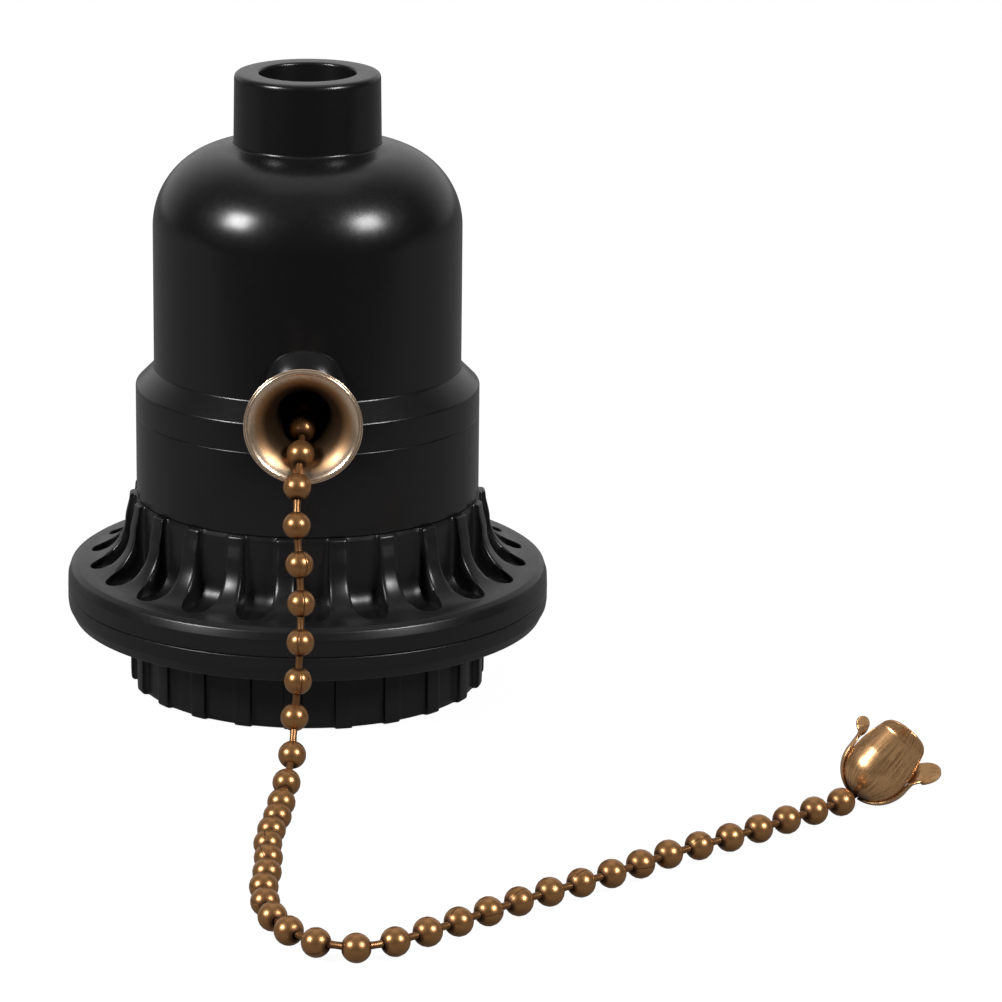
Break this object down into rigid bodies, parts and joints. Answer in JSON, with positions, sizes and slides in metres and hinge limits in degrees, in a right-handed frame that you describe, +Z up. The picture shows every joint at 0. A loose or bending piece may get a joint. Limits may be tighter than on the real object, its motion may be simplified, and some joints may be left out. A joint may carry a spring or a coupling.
{
  "type": "lamp holder",
  "caption": "Pull-chain lamp holder: domed two-part housing with screw lamp entry, threaded cable neck, two fluted shade rings and a bell-mouth guide for a ball chain with a tulip pull.",
  "frame": {"origin": "centre of the lamp entry at the barrel's rim", "axes": "+Z up the holder's axis to the cable entry, -Y out along the chain guide"},
  "size_m": [0.1013, 0.1257, 0.0745],
  "materials": {
    "bakelite": "black moulded phenolic with a soft gloss",
    "phenolic": "brown moulded phenolic",
    "brass": "plain rolled brass",
    "chain_brass": "darkened brass, worn bright",
    "guide_plate": "coppery plated brass",
    "steel": "zinc plated steel"
  },
  "bodies": {
    "holder": {"cap": "bakelite", "barrel": "bakelite", "screw_shell": "brass", "contact_block": "phenolic", "shell_rivets": "brass", "centre_contact": "brass", "contact_rivet": "brass", "bell_guide": "guide_plate", "guide_nut": "steel", "switch_frame": "phenolic", "frame_screws": "steel", "switch_shaft": "steel", "contact_blades": "brass", "detent_spring": "steel", "terminal_plates": "brass", "terminal_screws": "steel"},
    "upper_ring": {"upper_shade_ring": "bakelite"},
    "lower_ring": {"lower_shade_ring": "bakelite"},
    "pull_chain": {"chain_beads": "chain_brass", "chain_links": "chain_brass", "tulip_pull": "chain_brass"},
    "lever": {"pull_lever": "steel", "drive_pawl": "steel", "return_spring": "steel"},
    "rotor": {"switch_rotor": "phenolic"}
  },
  "joints": [
    {"name": "upper_ring_unscrew", "type": "slide", "parent": "holder", "child": "upper_ring", "axis": [0, 0, -1], "range_m": [0, 0.005]},
    {"name": "lower_ring_unscrew", "type": "slide", "parent": "upper_ring", "child": "lower_ring", "axis": [0, 0, -1], "range_m": [0, 0.006]},
    {"name": "chain_pull", "type": "slide", "parent": "holder", "child": "pull_chain", "axis": [0, -1, 0], "range_m": [0, 0.008], "stiffness_N_per_m": 1500},
    {"name": "lever_swing", "type": "hinge", "parent": "holder", "child": "lever", "pos_m": [0, -0.007, 0.05067], "axis": [-1, 0, 0], "range_deg": [0, 42]},
    {"name": "rotor_turn", "type": "hinge", "parent": "holder", "child": "rotor", "pos_m": [0, -0.007, 0.05067], "axis": [-1, 0, 0], "range_deg": [0, 42]}
  ],
  "couplings": [
    {"joint": "lever_swing", "follows": "chain_pull", "rad_per_m": 90.3},
    {"joint": "rotor_turn", "follows": "chain_pull", "rad_per_m": 90.3}
  ]
}
